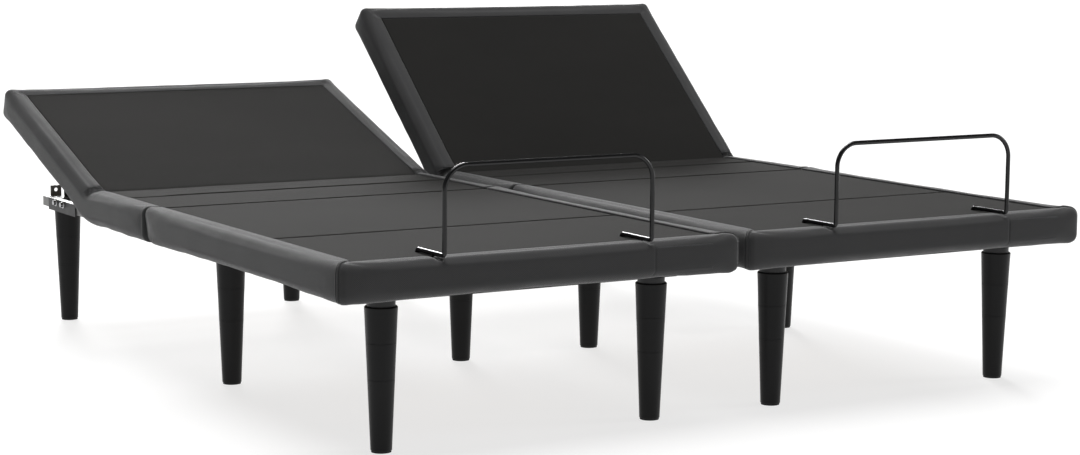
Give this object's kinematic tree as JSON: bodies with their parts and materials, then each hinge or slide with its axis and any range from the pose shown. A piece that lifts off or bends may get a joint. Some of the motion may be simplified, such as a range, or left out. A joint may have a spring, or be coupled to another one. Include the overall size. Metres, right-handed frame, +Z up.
{
  "type": "adjustable bed base",
  "caption": "Split adjustable bed base: two upholstered halves side by side, each with lifting back, thigh and foot sections, a retainer bar and tapered legs.",
  "frame": {"origin": "on the floor under the middle of the whole base in its rest pose", "axes": "+X across the foot end to the right, +Y from the foot end to the head end, +Z up"},
  "size_m": [1.956, 2.0565, 0.8413],
  "materials": {
    "rail_grey": "satin light grey paint",
    "frame_black": "satin black powder coat",
    "board": "raw plywood",
    "deck_fabric": "plain woven charcoal cover",
    "rail_fabric": "twill charcoal cover over foam",
    "leg_plastic": "satin black moulded plastic",
    "glide": "black felt and rubber pad",
    "bumper": "moulded rubber",
    "zinc": "zinc plated",
    "bar_steel": "satin black",
    "plate_plastic": "fine grained black",
    "motor_case": "dark grey housing",
    "rod_steel": "drawn steel",
    "bush": "natural nylon",
    "control": "black housing"
  },
  "bodies": {
    "base": {"leg_spacers": "leg_plastic", "leg_glides": "glide", "leg_bolts": "zinc", "rest_bumpers": "bumper", "hinge_bushes": "bush", "seat_hinge_leaves": "zinc", "headboard_brackets": "rail_grey", "control_boxes": "control", "left_frame_side_rails": "rail_grey", "left_frame_crossbars": "frame_black", "left_frame_brackets": "frame_black", "left_legs": "leg_plastic", "left_seat_deck": "board", "left_seat_rail_pads": "rail_fabric", "left_seat_top_pad": "deck_fabric", "right_frame_side_rails": "rail_grey", "right_frame_crossbars": "frame_black", "right_frame_brackets": "frame_black", "right_legs": "leg_plastic", "right_seat_deck": "board", "right_seat_rail_pads": "rail_fabric", "right_seat_top_pad": "deck_fabric"},
    "left_back": {"left_back_deck": "board", "left_back_frame": "frame_black", "left_back_rail_pads": "rail_fabric", "left_back_top_pad": "deck_fabric"},
    "left_thigh": {"left_thigh_deck": "board", "left_thigh_frame": "frame_black", "left_thigh_rail_pads": "rail_fabric", "left_thigh_top_pad": "deck_fabric"},
    "left_foot": {"left_foot_deck": "board", "left_foot_frame": "frame_black", "left_foot_rail_pads": "rail_fabric", "left_foot_top_pad": "deck_fabric", "left_retainer_bar": "bar_steel", "left_name_plate": "plate_plastic"},
    "left_foot_link_pair": {"left_foot_links": "frame_black"},
    "left_back_rod": {"left_back_actuator_rod": "rod_steel"},
    "left_back_motor": {"left_back_actuator_motor": "motor_case"},
    "left_leg_rod": {"left_leg_actuator_rod": "rod_steel"},
    "left_leg_motor": {"left_leg_actuator_motor": "motor_case"},
    "right_back": {"right_back_deck": "board", "right_back_frame": "frame_black", "right_back_rail_pads": "rail_fabric", "right_back_top_pad": "deck_fabric"},
    "right_thigh": {"right_thigh_deck": "board", "right_thigh_frame": "frame_black", "right_thigh_rail_pads": "rail_fabric", "right_thigh_top_pad": "deck_fabric"},
    "right_foot": {"right_foot_deck": "board", "right_foot_frame": "frame_black", "right_foot_rail_pads": "rail_fabric", "right_foot_top_pad": "deck_fabric", "right_retainer_bar": "bar_steel", "right_name_plate": "plate_plastic"},
    "right_foot_link_pair": {"right_foot_links": "frame_black"},
    "right_back_rod": {"right_back_actuator_rod": "rod_steel"},
    "right_back_motor": {"right_back_actuator_motor": "motor_case"},
    "right_leg_rod": {"right_leg_actuator_rod": "rod_steel"},
    "right_leg_motor": {"right_leg_actuator_motor": "motor_case"}
  },
  "joints": [
    {"name": "left_back_hinge", "type": "hinge", "parent": "base", "child": "left_back", "pos_m": [-0.4955, 0.3943, 0.365], "axis": [1, 0, 0], "range_deg": [-19.3, 40.7]},
    {"name": "left_back_rod_pivot", "type": "hinge", "parent": "left_back", "child": "left_back_rod", "pos_m": [-0.4055, 0.37759, 0.27657], "axis": [1, 0, 0], "range_deg": [-40.7, 19.3]},
    {"name": "left_back_stroke", "type": "slide", "parent": "left_back_rod", "child": "left_back_motor", "axis": [0, -1, 0], "range_m": [-0.02895, 0.06105]},
    {"name": "left_thigh_hinge", "type": "hinge", "parent": "base", "child": "left_thigh", "pos_m": [-0.4955, 0.0173, 0.403], "axis": [-1, 0, 0], "range_deg": [0, 40]},
    {"name": "left_knee_hinge", "type": "hinge", "parent": "left_thigh", "child": "left_foot", "pos_m": [-0.4955, -0.5857, 0.3775], "axis": [1, 0, 0], "range_deg": [0, 58]},
    {"name": "left_link_pivot", "type": "hinge", "parent": "base", "child": "left_foot_link_pair", "pos_m": [-0.4955, -0.3387, 0.33], "axis": [-1, 0, 0], "range_deg": [0, 42.41]},
    {"name": "left_leg_rod_pivot", "type": "hinge", "parent": "left_thigh", "child": "left_leg_rod", "pos_m": [-0.5855, 0.06176, 0.28084], "axis": [1, 0, 0], "range_deg": [0, 40]},
    {"name": "left_leg_stroke", "type": "slide", "parent": "left_leg_rod", "child": "left_leg_motor", "axis": [0, 1, 0], "range_m": [0, 0.08893]},
    {"name": "right_back_hinge", "type": "hinge", "parent": "base", "child": "right_back", "pos_m": [0.4955, 0.3943, 0.365], "axis": [1, 0, 0], "range_deg": [-41.5, 18.5]},
    {"name": "right_back_rod_pivot", "type": "hinge", "parent": "right_back", "child": "right_back_rod", "pos_m": [0.5855, 0.41224, 0.27681], "axis": [1, 0, 0], "range_deg": [-18.5, 41.5]},
    {"name": "right_back_stroke", "type": "slide", "parent": "right_back_rod", "child": "right_back_motor", "axis": [0, -1, 0], "range_m": [-0.06225, 0.02775]},
    {"name": "right_thigh_hinge", "type": "hinge", "parent": "base", "child": "right_thigh", "pos_m": [0.4955, 0.0173, 0.403], "axis": [-1, 0, 0], "range_deg": [0, 40]},
    {"name": "right_knee_hinge", "type": "hinge", "parent": "right_thigh", "child": "right_foot", "pos_m": [0.4955, -0.5857, 0.3775], "axis": [1, 0, 0], "range_deg": [0, 58]},
    {"name": "right_link_pivot", "type": "hinge", "parent": "base", "child": "right_foot_link_pair", "pos_m": [0.4955, -0.3387, 0.33], "axis": [-1, 0, 0], "range_deg": [0, 42.41]},
    {"name": "right_leg_rod_pivot", "type": "hinge", "parent": "right_thigh", "child": "right_leg_rod", "pos_m": [0.4055, 0.06176, 0.28084], "axis": [1, 0, 0], "range_deg": [0, 40]},
    {"name": "right_leg_stroke", "type": "slide", "parent": "right_leg_rod", "child": "right_leg_motor", "axis": [0, 1, 0], "range_m": [0, 0.08893]}
  ],
  "couplings": [
    {"joint": "left_back_rod_pivot", "follows": "left_back_hinge", "ratio": -1},
    {"joint": "left_back_stroke", "follows": "left_back_hinge", "m_per_rad": 0.085944},
    {"joint": "left_knee_hinge", "follows": "left_thigh_hinge", "ratio": 1.45},
    {"joint": "left_link_pivot", "follows": "left_thigh_hinge", "ratio": 1.0602},
    {"joint": "left_leg_rod_pivot", "follows": "left_thigh_hinge", "ratio": 1},
    {"joint": "left_leg_stroke", "follows": "left_thigh_hinge", "m_per_rad": 0.12738},
    {"joint": "right_back_rod_pivot", "follows": "right_back_hinge", "ratio": -1},
    {"joint": "right_back_stroke", "follows": "right_back_hinge", "m_per_rad": 0.085944},
    {"joint": "right_knee_hinge", "follows": "right_thigh_hinge", "ratio": 1.45},
    {"joint": "right_link_pivot", "follows": "right_thigh_hinge", "ratio": 1.0602},
    {"joint": "right_leg_rod_pivot", "follows": "right_thigh_hinge", "ratio": 1},
    {"joint": "right_leg_stroke", "follows": "right_thigh_hinge", "m_per_rad": 0.12738}
  ]
}
